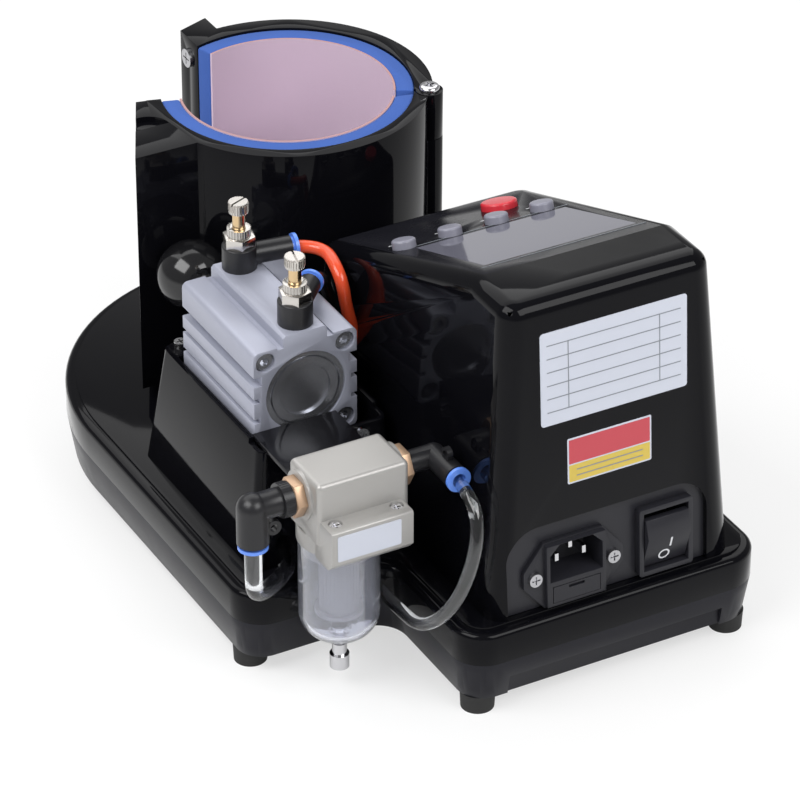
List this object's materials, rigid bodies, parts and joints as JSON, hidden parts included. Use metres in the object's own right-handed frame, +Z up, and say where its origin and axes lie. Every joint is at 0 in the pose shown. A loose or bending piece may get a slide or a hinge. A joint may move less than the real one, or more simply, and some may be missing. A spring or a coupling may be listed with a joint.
{
  "type": "pneumatic mug heat press",
  "caption": "Bench press that heats a mug between two hinged lined half jaws, closed by a side air cylinder with its filter, flow valves and control box.",
  "frame": {"origin": "middle of the box that holds the rigid pieces, on the table under the rubber feet", "axes": "+Z up, +Y towards the operator, -Y towards the mains inlet, +X to the right seen from the inlet side"},
  "size_m": [0.2402, 0.3555, 0.2002],
  "materials": {
    "gloss_black": "glossy moulded",
    "pan_black": "satin moulded",
    "black_satin": "gloss paint",
    "black_plastic": "fine textured",
    "rubber_black": "matt",
    "silver_alu": "satin anodised",
    "steel_bright": "polished",
    "nickel": "nickel plated",
    "brass": "machined",
    "blue_plastic": "glossy",
    "grey_plastic": "matt",
    "champagne": "satin",
    "clear_bowl": "clear polycarbonate",
    "clear_tube": "clear polyurethane",
    "orange_tube": "translucent orange",
    "smoke_window": "tinted clear",
    "foam_blue": "closed cell foam",
    "heater_cloth": "woven over silicone",
    "red_plastic": "glossy",
    "green_board": "solder mask",
    "felt_grey": "sintered",
    "dark_steel": "zinc plated"
  },
  "bodies": {
    "base": {"air_pump": "dark_steel", "base_pan": "pan_black", "base_tray": "gloss_black", "black_air_tube": "black_plastic", "bracket_screws": "nickel", "clear_inlet_tube": "clear_tube", "clear_outlet_tube": "clear_tube", "control_housing": "gloss_black", "cylinder_body": "silver_alu", "cylinder_bolts": "nickel", "cylinder_bracket": "black_satin", "cylinder_cap": "silver_alu", "display_board": "green_board", "display_window": "smoke_window", "elbow_left": "black_plastic", "elbow_right": "black_plastic", "far_foam": "foam_blue", "far_heater": "heater_cloth", "far_jaw": "black_satin", "filter_bowl": "clear_bowl", "filter_element": "felt_grey", "filter_head": "champagne", "hinge_pin": "nickel", "inlet_panel": "black_plastic", "inlet_pins": "brass", "inlet_socket": "black_plastic", "lock_nuts": "nickel", "machine_screws": "nickel", "mug_rest": "black_plastic", "orange_air_tube": "orange_tube", "port_bushings": "brass", "power_supply": "green_board", "rocker_bezel": "black_plastic", "rod_bush": "silver_alu", "rubber_feet": "rubber_black", "solenoid_valve": "black_plastic", "stand_housing": "black_satin", "valve_body_far": "black_plastic", "valve_body_near": "black_plastic"},
    "jaw": {"near_jaw": "black_satin", "near_foam": "foam_blue", "near_heater": "heater_cloth"},
    "rod": {"piston_rod": "steel_bright", "piston": "silver_alu", "ball_knob": "black_plastic"},
    "set_key": {"set_key": "grey_plastic"},
    "up_key": {"up_key": "grey_plastic"},
    "down_key": {"down_key": "grey_plastic"},
    "start_key": {"start_key": "grey_plastic"},
    "power_key": {"power_key": "red_plastic"},
    "rocker": {"power_rocker": "black_plastic"},
    "fuse_drawer": {"fuse_drawer": "black_plastic"},
    "needle_far": {"needle_far": "brass"},
    "needle_near": {"needle_near": "brass"},
    "drain_valve": {"drain_valve": "steel_bright"},
    "ring_far": {"ring_far": "blue_plastic"},
    "ring_near": {"ring_near": "blue_plastic"},
    "ring_left": {"ring_left": "blue_plastic"},
    "ring_right": {"ring_right": "blue_plastic"}
  },
  "joints": [
    {"name": "jaw_hinge", "type": "hinge", "parent": "base", "child": "jaw", "pos_m": [0.07615, 0.0625, 0.0542], "axis": [0, 0, 1], "range_deg": [-16.5, 0]},
    {"name": "rod_slide", "type": "slide", "parent": "base", "child": "rod", "axis": [0, 1, 0], "range_m": [0, 0.0389]},
    {"name": "set_key_press", "type": "slide", "parent": "base", "child": "set_key", "axis": [0, -0.3502, -0.9367], "range_m": [0, 0.0011], "stiffness_N_per_m": 600, "springref_m": -0.0015},
    {"name": "down_key_press", "type": "slide", "parent": "base", "child": "down_key", "axis": [0, -0.3502, -0.9367], "range_m": [0, 0.0011], "stiffness_N_per_m": 600, "springref_m": -0.0015},
    {"name": "up_key_press", "type": "slide", "parent": "base", "child": "up_key", "axis": [0, -0.3502, -0.9367], "range_m": [0, 0.0011], "stiffness_N_per_m": 600, "springref_m": -0.0015},
    {"name": "start_key_press", "type": "slide", "parent": "base", "child": "start_key", "axis": [0, -0.3502, -0.9367], "range_m": [0, 0.0011], "stiffness_N_per_m": 600, "springref_m": -0.0015},
    {"name": "power_key_press", "type": "slide", "parent": "base", "child": "power_key", "axis": [0, -0.3502, -0.9367], "range_m": [0, 0.0011], "stiffness_N_per_m": 600, "springref_m": -0.0015},
    {"name": "rocker_switch", "type": "hinge", "parent": "base", "child": "rocker", "pos_m": [0.06915, -0.16519, 0.06481], "axis": [-1, 0, 0], "range_deg": [0, 20]},
    {"name": "fuse_drawer_slide", "type": "slide", "parent": "base", "child": "fuse_drawer", "axis": [0, -0.9976, 0.0698], "range_m": [0, 0.012]},
    {"name": "needle_far_turn", "type": "hinge", "parent": "base", "child": "needle_far", "pos_m": [-0.05685, 0.0005, 0.17], "axis": [0, 0, 1], "continuous": true},
    {"name": "needle_near_turn", "type": "hinge", "parent": "base", "child": "needle_near", "pos_m": [-0.05685, -0.0545, 0.17], "axis": [0, 0, 1], "continuous": true},
    {"name": "drain_push", "type": "slide", "parent": "base", "child": "drain_valve", "axis": [0, 0, 1], "range_m": [0, 0.0025], "stiffness_N_per_m": 400, "springref_m": -0.001},
    {"name": "ring_far_press", "type": "slide", "parent": "base", "child": "ring_far", "axis": [-0.9903, 0.1392, 0], "range_m": [0, 0.001], "stiffness_N_per_m": 1500, "springref_m": -0.001},
    {"name": "ring_near_press", "type": "slide", "parent": "base", "child": "ring_near", "axis": [-0.682, -0.7314, 0], "range_m": [0, 0.001], "stiffness_N_per_m": 1500, "springref_m": -0.001},
    {"name": "ring_left_press", "type": "slide", "parent": "base", "child": "ring_left", "axis": [0, 0, 1], "range_m": [0, 0.001], "stiffness_N_per_m": 1500, "springref_m": -0.001},
    {"name": "ring_right_press", "type": "slide", "parent": "base", "child": "ring_right", "axis": [0, 1, 0], "range_m": [0, 0.001], "stiffness_N_per_m": 1500, "springref_m": -0.001}
  ],
  "couplings": [
    {"joint": "rod_slide", "follows": "jaw_hinge", "m_per_rad": -0.135}
  ]
}
